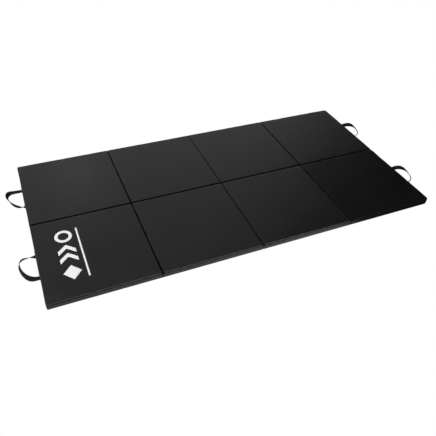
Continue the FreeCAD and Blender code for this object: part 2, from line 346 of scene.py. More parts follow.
def cover_vinyl(name, shade, gloss, pebble=1.2 * MM, scuff=0.3):
    """Pebbled satin vinyl."""
    material, f = new_finish(name)
    where = f.place()
    rim = f.read("rim")
    clouds = f.spots(3.1, detail=3.0, where=where)
    smears = f.spots(11.0, detail=5.0, roughness=0.65, warp=1.4, where=where)
    cells = {"feature": "SMOOTH_F1"}
    pebbles = f.node("ShaderNodeTexVoronoi", cells, {"Vector": where, "Scale": 1 / pebble, 4: 0.6})
    fine = f.spots(2.4 / pebble, detail=2.0, where=where)
    height = (1 - pebbles) * 0.8 + fine * 0.35
    creases = f.spots(55.0, detail=4.0, roughness=0.6, warp=0.8, where=where)
    under = f.bump(creases, 0.10, 0.5 * MM)
    normal = f.bump(height * (1 - rim * 0.5), 0.22, 0.25 * MM, under)
    drawn_out = f.node("ShaderNodeMapping", None, {"Vector": where, "Scale": (1.2, 14.0, 3.0)})
    streaks = f.spots(3.0, detail=4.0, roughness=0.6, warp=0.5, where=drawn_out)
    # Wear from smears, scuffs and clouds, plus a painted highlight: rim lightens the colour along the
    # soft edges.
    wear_and_edge_highlight = smears * scuff * clouds + rim ** 3.0 * 0.5
    colour = f.mix(wear_and_edge_highlight, grey(shade), grey(0.022, 0.01))
    polish = (clouds - 0.5) * 0.10 + (smears - 0.5) * 0.12 + (streaks - 0.5) * 0.10
    roughness = gloss + polish - rim * 0.05
    f.surface(matt=f.read("matt"), Base_Color=colour, Roughness=roughness, Normal=normal, IOR=1.5)
    return material


TOP_VINYL = cover_vinyl("top_vinyl", 0.003, 0.33)
SIDE_VINYL = cover_vinyl("side_vinyl", 0.003, 0.38)
BASE_VINYL = cover_vinyl("base_vinyl", 0.006, 0.56, pebble=1.8 * MM, scuff=0.8)
PATCH_VINYL = cover_vinyl("patch_vinyl", 0.004, 0.50, pebble=0.9 * MM)
print("vinyls:", [m.name for m in (TOP_VINYL, SIDE_VINYL, BASE_VINYL, PATCH_VINYL)])

# %% [markdown]
# ## Woven finishes
#
# Webbing and tape are woven, and their pattern has to follow the strap round its bends.
# Each strap's mesh therefore stores two numbers on its vertices, `along` and `across`, in
# metres, and the weave is worked out from those. A row of rounded ribs is the size of a
# sine. Shifting every other rib by half a stitch makes it read as a weave.

# %% Weave the webbing, the hinge cloth and the tapes


def woven(name, shade, rib=2.2 * MM, pick=1.6 * MM, gloss=0.72, strength=0.5, ior=1.3):
    """Ribs that run along the strap, crossed by picks that alternate from rib to rib."""
    material, f = new_finish(name)
    along, across = f.read("along"), f.read("across")
    ribs = (across * (math.pi / rib)).sine().size()
    odd = ((across / rib) % 2.0) > 1.0
    picks = (along * (math.pi / pick) + odd * (math.pi / 2)).sine().size()
    fuzz = f.spots(900.0, detail=3.0)
    height = ribs * 0.6 + picks * ribs * 0.5 + fuzz * 0.15
    tone = f.spots(60.0, detail=3.0)
    # Painted shade: the colour is darker in the valleys between the ribs, with some random tone.
    colour = f.mix(ribs * 0.6 + tone * 0.4, grey(shade * 0.45), grey(shade * 1.5))
    normal = f.bump(height, strength, 0.5 * MM)
    f.surface(Base_Color=colour, Roughness=gloss - picks * 0.12, Normal=normal, IOR=ior)
    return material


def pile(name, shade, spacing, gloss):
    """The working face of a hook or loop tape: a dense field of tiny tufts."""
    material, f = new_finish(name)
    where = f.place()
    cells = {"feature": "F1"}
    tufts = f.node("ShaderNodeTexVoronoi", cells, {"Vector": where, "Scale": 1 / spacing})
    fuzz = f.spots(1.7 / spacing, detail=4.0, roughness=0.7, where=where)
    border = f.read("rim")
    height = ((1 - tufts) * 0.8 + fuzz * 0.5) * (1 - border)
    # Painted shade: the colour is lighter on the tufts and darker between them.
    colour = f.mix(tufts, grey(shade * 1.8), grey(shade * 0.4))
    f.surface(Base_Color=colour, Roughness=gloss, Normal=f.bump(height, 0.8, 0.8 * MM), IOR=1.25)
    return material


WEBBING = woven("webbing_weave", 0.0035, gloss=0.8)
HINGE_CLOTH = woven("hinge_cloth", 0.003, 0.9 * MM, 0.9 * MM, gloss=0.75, strength=0.25, ior=1.15)
THREAD = woven("sewing_thread", 0.012, rib=0.5 * MM, pick=0.7 * MM, gloss=0.5, strength=0.3)
HOOKS = pile("hook_pile", 0.004, 1.5 * MM, 0.8)
LOOPS = pile("loop_pile", 0.005, 0.8 * MM, 0.95)
print("woven:", [m.name for m in (WEBBING, HINGE_CLOTH, THREAD, HOOKS, LOOPS)])

# %% [markdown]
# ## Foam and print
#
# The foam core is closed-cell and charcoal: its skin shows small round cells. The printed
# mark is a thin white ink, slightly rough, with the pebble of the vinyl just showing
# through it.

# %% Make the foam and the ink


def foam_skin():
    material, f = new_finish("closed_cell_foam")
    where = f.place()
    cells = f.node("ShaderNodeTexVoronoi", {"feature": "F1"}, {"Vector": where, "Scale": 420.0})
    clouds = f.spots(9.0, detail=3.0, where=where)
    colour = f.mix(clouds, grey(0.045), grey(0.075))
    f.surface(Base_Color=colour, Roughness=0.9 - cells * 0.1, Normal=f.bump(cells, 0.5, 0.6 * MM))
    return material


def print_ink():
    material, f = new_finish("white_ink")
    where = f.place()
    cells = {"feature": "SMOOTH_F1"}
    pebbles = f.node("ShaderNodeTexVoronoi", cells, {"Vector": where, "Scale": 830.0, 4: 0.6})
    thin = f.spots(240.0, detail=3.0, roughness=0.7, where=where)
    colour = f.mix(thin, grey(0.95), grey(0.80))
    normal = f.bump(1 - pebbles, 0.15, 0.2 * MM)
    f.surface(Base_Color=colour, Roughness=0.45 + thin * 0.1, Normal=normal)
    return material


FOAM = foam_skin()
INK = print_ink()
print("plain:", [m.name for m in (FOAM, INK)])

# %% [markdown]
# ## Helpers for pieces
#
# Each piece is a mesh whose own object stays at the origin, so its place is in its
# vertices. `finish_piece` turns a bmesh into such an object, names it, and gives it its
# finish and its smooth shading.

# %% Turn a bmesh into a piece


def finish_piece(bm, name, material, smooth=True):
    mesh = bpy.data.meshes.new(name)
    bm.to_mesh(mesh)
    bm.free()
    return mesh_piece(mesh, name, material, smooth)


def mesh_piece(mesh, name, material, smooth=True):
    mesh.name = name
    piece = bpy.data.objects.new(name, mesh)
    scene.collection.objects.link(piece)
    mesh.materials.clear()
    mesh.materials.append(material)
    mesh.polygons.foreach_set("use_smooth", [smooth] * len(mesh.polygons))
    mesh.polygons.foreach_set("material_index", [0] * len(mesh.polygons))
    return piece


def settle(piece):
    """Replace a piece's mesh by what its modifiers make of it."""
    depsgraph = bpy.context.evaluated_depsgraph_get()
    done = bpy.data.meshes.new_from_object(piece.evaluated_get(depsgraph))
    piece.modifiers.clear()
    piece.data = done
    return piece


def add_wall(piece, thickness, offset=-1.0):
    """Give an open sheet its thickness, inwards by default."""
    wall = piece.modifiers.new("wall", "SOLIDIFY")
    wall.thickness = thickness
    wall.offset = offset
    return wall


def add_smoothing(piece, levels=1):
    smooth = piece.modifiers.new("smoothing", "SUBSURF")
    smooth.levels = levels
    smooth.render_levels = levels
    return smooth


# %% [markdown]
# ## The sewn covers
#
# A panel's cover is three pieces of vinyl sewn inside out: a top sheet that turns down
# over the foam's soft edge, a band round the sides, and a bottom sheet. A box with
# rounded edges would be too perfect: sewn vinyl lies in slow waves, pulls in at the seams
# and swells a little between them. So the whole cover starts as one closed box, cut into
# a grid fine enough to bend, and is inflated by Blender's cloth simulation with its base
# and its seams held. What the cloth may move is kept under a millimetre or so, because
# folded panels lie only two millimetres apart. Then it is cut apart at the seams, so that
# the three pieces still meet.

# %% Shape a closed cover
GRID = 12 * MM
SEAM_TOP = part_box("top_cover_front_1")[0].z
SEAM_BASE = 3.5 * MM
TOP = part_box("top_cover_front_1")[1].z
EDGE_ROUND = 4 * MM
BASE_ROUND = 3.0 * MM
SEAM_TUCK = 1.8 * MM
CORNER_OUTER = 20 * MM
CORNER_LEFT = 8 * MM
CORNER_INNER = 3 * MM
EDGE_BAND = 9 * MM
SEAM_RINGS = (SEAM_TOP + 1.5 * MM, SEAM_TOP, SEAM_TOP - 2 * MM, SEAM_TOP - 3.5 * MM)
MID_RINGS = (20 * MM, 10 * MM, SEAM_BASE)
CORNER_PUFF = {"front": 0.8 * MM, "back": 1.7 * MM}
PUFF_REACH = 45 * MM
print(f"a cover is {TOP / MM:.0f} mm high, with its seam at {SEAM_TOP / MM:.0f} mm")


def cut(bm, place, normal):
    everything = [*bm.verts, *bm.edges, *bm.faces]
    bmesh.ops.bisect_plane(bm, geom=everything, plane_co=place, plane_no=normal, dist=1e-6)


def round_over(bm, edges, radius, segments):
    bmesh.ops.bevel(
        bm, geom=edges, offset=radius, segments=segments,
        affect="EDGES", profile=0.5, material=-1,
    )


def edges_at_height(bm, height):
    return [e for e in bm.edges if all(abs(v.co.z - height) < 1e-5 for v in e.verts)]


def box_between(low, high):
    """A bmesh that holds one plain box."""
    bm = bmesh.new()
    bmesh.ops.create_cube(bm, size=1)
    bmesh.ops.scale(bm, vec=high - low, verts=bm.verts)
    bmesh.ops.translate(bm, vec=(low + high) / 2, verts=bm.verts)
    return bm


def rounded_box(low, high, outer=None):
    """A closed box with rounded upright corners; outer is the mat's own corner, if any.

    The mat's right corners are fuller than its left ones, as its covers are sewn by hand.
    """
    bm = box_between(low, high)

    def is_outer(edge):
        return outer is not None and (edge.verts[0].co.xy - outer).length < 1e-4

    def upright():
        return [e for e in bm.edges if abs(e.verts[0].co.z - e.verts[1].co.z) > 1e-3]

    inner_edges = [e for e in upright() if not is_outer(e)]
    round_over(bm, inner_edges, CORNER_INNER, 3)
    outer_edges = [e for e in upright() if is_outer(e)]
    if outer_edges:
        round_over(bm, outer_edges, CORNER_OUTER if outer.x > 0 else CORNER_LEFT, 6)
    return bm


def mat_corner(row, column, low, high):
    """The place of a panel's corner that is also a corner of the whole mat."""
    if column not in (1, 4):
        return None
    return Vector((low.x if column == 1 else high.x, low.y if row == "front" else high.y))


def panel_box(row, column):
    top_low, top_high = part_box(f"top_cover_{row}_{column}")
    base_low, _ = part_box(f"bottom_cover_{row}_{column}")
    return Vector((top_low.x, top_low.y, base_low.z)), top_high


def closed_cover(row, column):
    """One panel's cover as a closed box, cut into a grid and tucked in at its seams."""
    low, high = panel_box(row, column)
    bm = rounded_box(low, high, mat_corner(row, column, low, high))
    round_over(bm, edges_at_height(bm, high.z), EDGE_ROUND, 4)
    round_over(bm, edges_at_height(bm, low.z), BASE_ROUND, 2)
    for axis in (0, 1):
        count = round((high[axis] - low[axis]) / GRID)
        normal = Vector((axis == 0, axis == 1, 0))
        for i in range(1, count):
            cut(bm, low + (high - low) * i / count, normal)
    up = Vector((0, 0, 1))
    for height in (*SEAM_RINGS, *MID_RINGS):
        cut(bm, Vector((0, 0, height)), up)
    tuck_seam(bm, SEAM_TOP, low, high)
    puff_corners(bm, row, column, low, high)
    return bm


def puff_corners(bm, row, column, low, high):
    """Sewn corners stand out a little, most of all at the open ends of the folds."""
    end = low.y if row == "front" else high.y
    puff = CORNER_PUFF[row]
    for vert in bm.verts:
        near = max(0.0, 1 - abs(vert.co.y - end) / PUFF_REACH) ** 2
        if column > 1 and vert.co.x < low.x + CORNER_INNER:
            vert.co.x -= puff * near
        if column < 4 and vert.co.x > high.x - CORNER_INNER:
            vert.co.x += puff * near


def outward_at(point, low, high):
    """Which way is out of the panel at a point on its side, level."""
    inner = Vector((
        min(max(point.x, low.x + CORNER_OUTER), high.x - CORNER_OUTER),
        min(max(point.y, low.y + CORNER_OUTER), high.y - CORNER_OUTER),
        point.z,
    ))
    return (point - inner).normalized()


def tuck_seam(bm, height, low, high):
    """Pull one ring of vertices in, as thread pulls a seam."""
    for vert in bm.verts:
        if abs(vert.co.z - height) < 1e-5:
            vert.co -= outward_at(vert.co, low, high) * SEAM_TUCK


# %% [markdown]
# ## Letting the cloth settle
#
# The cloth is given slack by a negative shrink, so it buckles into soft waves, and a
# little pressure lifts it off the foam. A vertex group holds the base still and the seam
# rings nearly so. All eight covers are stepped through the same twenty frames, and each
# vertex's movement is then passed through a curve that levels off at a limit.

# %% Simulate the covers
CLOTH_FRAMES = 20
LIFT_LIMIT = 0.45 * MM
SIDE_LIMIT = 0.5 * MM
RIPPLE = 0.35 * MM


def add_hold_group(piece):
    """How firmly each vertex is held: the base fully, the seam mostly, the rest not."""
    group = piece.vertex_groups.new(name="held")
    for vert in piece.data.vertices:
        if vert.co.z < SEAM_BASE + 1e-5:
            group.add([vert.index], 1.0, "REPLACE")
        elif abs(vert.co.z - SEAM_TOP) < 1e-5:
            group.add([vert.index], 0.9, "REPLACE")


def seed_ripples(piece, seed):
    """A slight unevenness in the sheet as it is laid, so that no two panels settle alike."""
    shift = Vector((seed * 7.3, seed * 3.1, 0))
    for vert in piece.data.vertices:
        if vert.co.z > TOP - EDGE_ROUND:
            vert.co.z += noise.noise(vert.co * 6.0 + shift) * RIPPLE


def add_cloth(piece):
    cloth = piece.modifiers.new("cloth", "CLOTH")
    cloth.settings.quality = 4
    cloth.settings.mass = 0.25
    cloth.settings.tension_stiffness = 12
    cloth.settings.compression_stiffness = 12
    cloth.settings.shear_stiffness = 4
    cloth.settings.bending_stiffness = 0.8
    cloth.settings.use_pressure = True
    cloth.settings.uniform_pressure_force = 0.15
    cloth.settings.shrink_min = -0.004
    cloth.settings.effector_weights.gravity = 0
    cloth.settings.vertex_group_mass = "held"
    cloth.collision_settings.use_collision = False
    cloth.point_cache.frame_start = 1
    cloth.point_cache.frame_end = CLOTH_FRAMES


def eased(distance, limit):
    return limit * math.tanh(distance / limit)


def settle_covers(covers):
    """Run the simulation on every cover at once and keep its last frame."""
    rest = {name: [v.co.copy() for v in piece.data.vertices] for name, piece in covers.items()}
    for index, piece in enumerate(covers.values()):
        add_hold_group(piece)
        seed_ripples(piece, index + 1)
        add_cloth(piece)
    for step in range(1, CLOTH_FRAMES + 1):
        scene.frame_set(step)
    for piece in covers.values():
        settle(piece)
    scene.frame_set(1)
    for name, piece in covers.items():
        moved = [0.0, 0.0]
        for vert, start in zip(piece.data.vertices, rest[name]):
            step = vert.co - start
            lift = eased(step.z, LIFT_LIMIT)
            level = Vector((step.x, step.y, 0))
            spread = eased(level.length, SIDE_LIMIT)
            vert.co = start + level.normalized() * spread + Vector((0, 0, lift))
            moved = [min(moved[0], lift), max(moved[1], lift)]
        print(name, "lift mm", [round(v / MM, 2) for v in moved])


def mark_regions(bm):
    """Material index 0 for the top cover, 1 for the side band and 2 for the base."""
    for face in bm.faces:
        height = face.calc_center_median().z
        face.material_index = 0 if height > SEAM_TOP else 1 if height > SEAM_BASE else 2


REGION_MATERIALS = [TOP_VINYL, SIDE_VINYL, BASE_VINYL]
covers = {}
for row in ROWS:
    for column in COLUMNS:
        cover_bm = closed_cover(row, column)
        mark_regions(cover_bm)
        cover_mesh = bpy.data.meshes.new("cover")
        cover_bm.to_mesh(cover_mesh)
        cover_bm.free()
        for region_material in REGION_MATERIALS:
            cover_mesh.materials.append(region_material)
        cover = bpy.data.objects.new(f"cover_{row}_{column}", cover_mesh)
        scene.collection.objects.link(cover)
        covers[f"{row}_{column}"] = cover
settle_covers(covers)

# %% [markdown]
# ## Cutting the cover apart at its seams
#
# Deleting all faces but one region's leaves an open sheet. Solidify then gives it the
# vinyl's thickness inwards, which keeps the outer face where the simulation left it, and
# one level of subdivision rounds what the grid left angular.

# %% Cut out the three pieces of each cover
VINYL = 0.8 * MM
LIP_DROP = 0.6 * MM
LIP_WIDE = 3.5 * MM
SLOT_MOUTH = (0.9 * MM, 9 * MM)
# Painted shade over whole panels, strongest on the front right one, where less light reaches.
PANEL_PAINTED_SHADE = {("front", 1): 0.05, ("front", 4): 0.32}
NO_FOLD = 1.0


# The rim number paints a highlight into the vinyl's colour along its soft edges.
def rim_amount(point, low, high):
    """One on the soft edge, fading to nothing a finger's width in."""
    inset = min(point.x - low.x, high.x - point.x, point.y - low.y, high.y - point.y)
    return max(0.0, 1 - max(inset, 0) / EDGE_BAND) if point.z > SEAM_TOP else 0.0


def painted_shade_amount(point, row, column, low, high):
    """How much painted shade the vinyl gets: in the seam groove, at the slot mouths, along the centre
    line, on the fold and far-edge lips, and over dim panels.
    """
    # Painted shade in the seam groove.
    if SEAM_TOP - 2.1 * MM < point.z < SEAM_TOP + 0.1 * MM:
        return 0.9
    left, right = point.x - low.x, high.x - point.x
    front, back = point.y - low.y, high.y - point.y
    to_outside, to_centre = (front, back) if row == "front" else (back, front)
    to_fold = min(left if column > 1 else NO_FOLD, right if column < 4 else NO_FOLD)
    below_face = point.z < TOP - LIP_DROP
    # Painted shade in the mouths of the fold slots, then on the walls along the centre line.
    if to_fold < 4 * MM and SLOT_MOUTH[0] < to_outside < SLOT_MOUTH[1] and below_face:
        return 1.0
    if to_centre < 3 * MM and point.z > SEAM_TOP:
        return 1.0
    if point.z <= SEAM_TOP:
        return 0.0
    painted_dark = PANEL_PAINTED_SHADE.get((row, column), 0.0)
    if not below_face:
        return painted_dark
    # Painted shade on the lips beside the folds, and a little less on the back and right lips.
    if to_fold < LIP_WIDE:
        return 0.85
    far_edge = min(back if row == "back" else NO_FOLD, right if column == 4 else NO_FOLD)
    return 0.6 if far_edge < LIP_WIDE else painted_dark


def cut_region(cover, region, name, material, row, column, smoothing=1):
    low, high = panel_box(row, column)
    bm = bmesh.new()
    bm.from_mesh(cover.data)
    others = [f for f in bm.faces if f.material_index != region]
    bmesh.ops.delete(bm, geom=others, context="FACES")
    rim = bm.verts.layers.float.new("rim")
    matt = bm.verts.layers.float.new("matt")
    # rim paints a highlight along the soft edge; the second number is painted shade.
    for vert in bm.verts:
        vert[rim] = rim_amount(vert.co, low, high)
        vert[matt] = painted_shade_amount(vert.co, row, column, low, high)
    piece = finish_piece(bm, name, material)
    if smoothing:
        add_smoothing(piece, smoothing)
    add_wall(piece, VINYL)
    return piece


top_covers = {}
for key, cover in covers.items():
    row, column = key.rsplit("_", 1)
    column = int(column)
    top = cut_region(cover, 0, f"cover_top_{key}", TOP_VINYL, row, column)
    side = cut_region(cover, 1, f"cover_side_{key}", SIDE_VINYL, row, column)
    base = cut_region(cover, 2, f"cover_base_{key}", BASE_VINYL, row, column, smoothing=0)
    named = (
        (top, "top_cover", "top_vinyl"),
        (side, "side_wall", "side_vinyl"),
        (base, "bottom_cover", "base_vinyl"),
    )
    for piece, node, slot in named:
        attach(piece, key)
        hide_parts(f"{node}_{key}")
    top_covers[key] = top
    bpy.data.objects.remove(cover)
print("covers cut:", len(top_covers) * 3, "pieces")

# %% [markdown]
# ## The foam cores
#
# A foam block sits a few millimetres inside each cover. It is cut by knife from a sheet,
# so its sides are straight and only its upper edge is eased. It hardly ever shows, but it
# is a piece of the mat, so it gets its own shape and finish.

# %% Cut the foam blocks
FOAM_INSET = 2.4 * MM


def foam_block(row, column):
    low, high = panel_box(row, column)
    inset = Vector((FOAM_INSET, FOAM_INSET, FOAM_INSET))
    low, high = low + inset, high - inset
    bm = rounded_box(low, high, mat_corner(row, column, low, high))
    round_over(bm, edges_at_height(bm, high.z), 5 * MM, 3)
    block = finish_piece(bm, f"foam_block_{row}_{column}", FOAM, smooth=False)
    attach(block, f"{row}_{column}")
    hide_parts(f"foam_core_{row}_{column}")


for row in ROWS:
    for column in COLUMNS:
        foam_block(row, column)
print("foam blocks:", len(ROWS) * len(COLUMNS))

# %% [markdown]
# ## Thread
#
# A row of stitches is the same small thread, again and again: an icosphere with twenty
# faces, stretched along the seam. Where each one lies is asked of the cover itself: a BVH
# tree finds the nearest point of the finished vinyl and which way it faces, so the
# stitches follow every swell of the simulated sheet.

# %% Sew along a line
STITCH_PITCH = 5.0 * MM
STITCH_LONG = 3.7 * MM
THREAD_THICK = 0.7 * MM


def surface_of(piece):
    return BVHTree.FromObject(piece, bpy.context.evaluated_depsgraph_get())


def add_stitch(bm, middle, along, away):
    """One stitch lying on a surface that faces away."""
    across = away.cross(along).normalized()
    turned = Matrix((along, across, away)).transposed().to_4x4()
    stretch = Matrix.Diagonal((STITCH_LONG / 2, THREAD_THICK / 2, THREAD_THICK * 0.4, 1))
    place = Matrix.Translation(middle) @ turned @ stretch
    bmesh.ops.create_icosphere(bm, subdivisions=1, radius=1, matrix=place)


def sew(bm, start, end, surface):
    """A row of stitches from start to end, laid on a surface."""
    count = max(1, round((end - start).length / STITCH_PITCH))
    for i in range(count):
        wanted = start.lerp(end, (i + 0.5) / count)
        middle, away, _, _ = surface.find_nearest(wanted)
        level = end - start
        along = (level - away * level.dot(away)).normalized()
        add_stitch(bm, middle, along, away)


def thread_piece(bm, name, body):
    for layer_name, axis in (("along", 0), ("across", 1)):
        layer = bm.verts.layers.float.new(layer_name)
        for vert in bm.verts:
            vert[layer] = vert.co[axis]
    thread = finish_piece(bm, name, THREAD)
    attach(thread, body)
    return thread


def seam_rows(row, column, height):
    """The four straight runs of a seam round a panel, between its rounded corners."""
    low, high = panel_box(row, column)
    turn = CORNER_OUTER
    x0, x1, y0, y1 = low.x, high.x, low.y, high.y
    ends = (
        ((x0 + turn, y0), (x1 - turn, y0)),
        ((x1, y0 + turn), (x1, y1 - turn)),
        ((x1 - turn, y1), (x0 + turn, y1)),
        ((x0, y1 - turn), (x0, y0 + turn)),
    )
    return [(Vector((*a, height)), Vector((*b, height))) for a, b in ends]


stitches = 0
for row in ROWS:
    for column in COLUMNS:
        key = f"{row}_{column}"
        surface = surface_of(bpy.data.objects[f"cover_side_{key}"])
        seam_bm = bmesh.new()
        for start, end in seam_rows(row, column, SEAM_TOP - 4.5 * MM):
            sew(seam_bm, start, end, surface)
        stitches += len(seam_bm.faces) // 20
        thread_piece(seam_bm, f"seam_thread_{key}", key)
print("seam stitches:", stitches)

# %% [markdown]
# ## The hinge webs
#
# Across each fold a strip of cloth is sewn to both walls, low down in the two outer
# folds, which close underside to underside, and high up in the middle one, which closes
# top to top. It starts as a flat grid. Each vertex is then moved round the channel's
# profile by how far along the profile it lies.

# %% Fold the hinge webs
WEB_THICK = 0.6 * MM
WEB_CLEAR = 0.15 * MM
WEB_SHORT = 1.5 * MM
WEB_INTO_JOIN = 2.4 * MM


def channel_point(run, half_wide, bend):
    """Where a point of the web lies: run is its distance along the profile from the middle."""
    side = -1 if run < 0 else 1
    run = abs(run)
    flat = half_wide - bend
    curve = bend * math.pi / 2
    if run < flat:
        return side * run, 0.0
    if run < flat + curve:
        angle = (run - flat) / bend
        return side * (flat + bend * math.sin(angle)), bend * (1 - math.cos(angle))
    return side * half_wide, bend + run - flat - curve


def hinge_web(row, fold):
    low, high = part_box(f"hinge_web_{row}_{fold}")
    left_panel, right_panel = panel_box(row, fold)[1], panel_box(row, fold + 1)[0]
    panel_low, panel_high = panel_box(row, fold)
    low.x, high.x = left_panel.x + WEB_CLEAR, right_panel.x - WEB_CLEAR
    if row == "front":
        low.y, high.y = panel_low.y + WEB_SHORT, panel_high.y + WEB_INTO_JOIN
    else:
        low.y, high.y = panel_low.y - WEB_INTO_JOIN, panel_high.y - WEB_SHORT
    half_wide = (high.x - low.x) / 2 - WEB_THICK / 2
    bend = half_wide * 0.7
    run = high.z - low.z + half_wide
    bm = bmesh.new()
    bmesh.ops.create_grid(bm, x_segments=28, y_segments=48, size=0.5)
    along = bm.verts.layers.float.new("along")
    across = bm.verts.layers.float.new("across")
    middle = (low + high) / 2
    for vert in bm.verts:
        part, length = vert.co.x * 2 * run, vert.co.y * (high.y - low.y)
        x, rise = channel_point(part, half_wide, bend)
        vert[along], vert[across] = length, part
        z = high.z - WEB_THICK / 2 - rise if fold == 2 else low.z + WEB_THICK / 2 + rise
        vert.co = Vector((middle.x + x, middle.y + length, min(max(z, low.z), high.z)))
    web = finish_piece(bm, f"fold_web_{row}_{fold}", HINGE_CLOTH)
    add_wall(web, WEB_THICK, offset=0.0)
    settle(web)
    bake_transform(web)
    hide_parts(f"hinge_web_{row}_{fold}")


for row in ROWS:
    for fold in FOLDS:
        hinge_web(row, fold)
print("hinge webs:", len(ROWS) * len(FOLDS))

# %% [markdown]
# ## The handles
#
# A handle is one length of flat webbing. Its ends are sewn to the end wall lying flat, and
# in between it turns onto its edge, because that is how a strap can follow a tight bend. A
# curve with a bevel could make a strap, but it is hard to control the twist of one, so
# the strap is made straight first, as a bar cut into short lengths, and every vertex is
# then carried to its place on a smooth path. The path's points say how far out they are,
# how far along the wall, how high, and how much the strap has turned.

# %% Bend the webbing
STRAP_WIDE = 27 * MM
STRAP_THICK = 2.0 * MM
STRAP_STEP = 3 * MM
PATH_STEPS = 24

# out from the wall, along the wall from the handle's middle, height, turn in degrees
HANDLE_ROUTES = {
    "back_left": [
        (0, 70, 11, 0), (22, 70, 12, 6), (50, 70, 13, 10), (76, 65, 15, 35), (91, 42, 16, 62),
        (90, 10, 16, 64), (78, -28, 16, 76), (58, -62, 16, 84), (36, -82, 15, 74), (14, -89, 12, 40),
        (0, -90, 11, 0),
    ],
    "front_left": [
        (0, 74, 11, 180), (20, 74, 13, 150), (42, 73, 16, 128), (68, 70, 16, 115), (86, 50, 16, 110),
        (89, 14, 16, 112), (80, -26, 16, 115), (64, -58, 15, 125), (44, -78, 13, 145),
        (22, -85, 11, 172), (0, -86, 11, 180),
    ],
    "back_right": [
        (0, 80, 11, 180), (22, 80, 12, 160), (48, 80, 14, 138), (76, 74, 15, 108), (93, 52, 16, 72),
        (95, 20, 16, 55), (86, -18, 16, 60), (66, -54, 16, 88), (42, -75, 15, 122), (18, -81, 13, 150),
        (0, -82, 11, 180),
    ],
    "front_right": [
        (0, 78, 11, 180), (22, 78, 12, 160), (50, 78, 14, 134), (78, 70, 15, 104), (95, 46, 15, 70),
        (97, 14, 15, 52), (86, -26, 15, 56), (65, -60, 15, 80), (40, -78, 15, 118), (18, -83, 13, 148),
        (0, -84, 11, 180),
    ],
}


def smooth_step(before, first, second, after, t):
    """A Catmull-Rom step between two points of a path."""
    return (
        first * 2 + (second - before) * t
        + (before * 2 - first * 5 + second * 4 - after) * t ** 2
        + (first * 3 - before - second * 3 + after) * t ** 3
    ) / 2


def smooth_path(points):
    """Closely spaced points on a smooth path; the fourth number rides along."""
    ends = [points[0] * 2 - points[1], *points, points[-1] * 2 - points[-2]]
    path = []
    for i in range(1, len(ends) - 2):
        for step in range(PATH_STEPS):
            path.append(smooth_step(*ends[i - 1:i + 3], step / PATH_STEPS))
    return [*path, points[-1]]


def path_lengths(path):
    lengths = [0.0]
    for before, after in zip(path, path[1:]):
        lengths.append(lengths[-1] + (after - before).xyz.length)
    return lengths


def strap_frame(path, lengths, distance):
    """The strap's middle, and its across and through directions, some way along."""
    i = min(bisect.bisect_right(lengths, distance), len(path) - 1)
    gap = lengths[i] - lengths[i - 1]
    here = path[i - 1].lerp(path[i], (distance - lengths[i - 1]) / gap)
    ahead = (path[i] - path[i - 1]).xyz.normalized()
    level = ahead.cross(Vector((0, 0, 1))).normalized()
    upright = level.cross(ahead)
    turn = math.radians(here.w)
    across = level * math.cos(turn) + upright * math.sin(turn)
    return here.xyz, across, ahead.cross(across)


def strap_bar(length, wide, thick):
    """A straight bar of webbing with soft edges, cut into short lengths."""
    bm = bmesh.new()
    bmesh.ops.create_cube(bm, size=1)
    bmesh.ops.scale(bm, vec=(length, wide, thick), verts=bm.verts)
    bmesh.ops.translate(bm, vec=(length / 2, 0, 0), verts=bm.verts)
    lengthways = [e for e in bm.edges if abs(e.verts[0].co.x - e.verts[1].co.x) > length / 2]
    round_over(bm, lengthways, thick * 0.4, 2)
    for i in range(1, round(length / STRAP_STEP)):
        cut(bm, Vector((i * STRAP_STEP, 0, 0)), Vector((1, 0, 0)))
    for share in (-0.3, 0.0, 0.3):
        cut(bm, Vector((0, share * wide, 0)), Vector((0, 1, 0)))
    return bm


def handle(row, side):
    sign = -1 if side == "left" else 1
    anchor_low, anchor_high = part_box(f"handle_anchor_{row}_{side}")
    wall = anchor_high.x if side == "right" else anchor_low.x
    middle_y = (anchor_low.y + anchor_high.y) / 2
    points = [
        Vector((wall + sign * out * MM, middle_y + along * MM, high * MM, turn))
        for out, along, high, turn in HANDLE_ROUTES[f"{row}_{side}"]
    ]
    path = smooth_path(points)
    lengths = path_lengths(path)
    bm = strap_bar(lengths[-1], STRAP_WIDE, STRAP_THICK)
    along_layer = bm.verts.layers.float.new("along")
    across_layer = bm.verts.layers.float.new("across")
    for vert in bm.verts:
        x, y, z = vert.co
        vert[along_layer], vert[across_layer] = x, y
        middle, across, through = strap_frame(path, lengths, min(max(x, 0), lengths[-1] - 1e-6))
        vert.co = middle + across * y + through * z
    bmesh.ops.recalc_face_normals(bm, faces=bm.faces)
    strap = finish_piece(bm, f"webbing_handle_{row}_{side}", WEBBING)
    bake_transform(strap)
    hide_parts(f"carry_handle_{row}_{side}")
    print(f"handle {row} {side}: {lengths[-1]:.3f} m of webbing")


for row in ROWS:
    for side in ("left", "right"):
        handle(row, side)

# %% [markdown]
# ## The handle patches
#
# Each pair of strap ends comes out through a patch of vinyl on the end wall. The patch is
# stitched round its border, and a box with a cross sewn in it holds each strap end behind
# it. The patch's outline comes from its CAD node, with its corners rounded by a bevel.

# %% Cut and sew the patches
PATCH_ROUND = 5 * MM
PATCH_HEM = 2.6 * MM
BOX_HALF = (11 * MM, 7 * MM)


def sew_box(bm, surface, middle, half_long, half_high):
    """Stitch once round a rectangle on an end wall, and return its corners."""
    corners = [
        middle + Vector((0, y * half_long, z * half_high))
        for y, z in ((-1, -1), (1, -1), (1, 1), (-1, 1))
    ]
    for i, corner in enumerate(corners):
        sew(bm, corner, corners[(i + 1) % 4], surface)
    return corners


def sew_box_and_cross(bm, surface, middle):
    """The usual sewing of a strap end: a box with its two diagonals."""
    corners = sew_box(bm, surface, middle, *BOX_HALF)
    sew(bm, corners[0], corners[2], surface)
    sew(bm, corners[1], corners[3], surface)


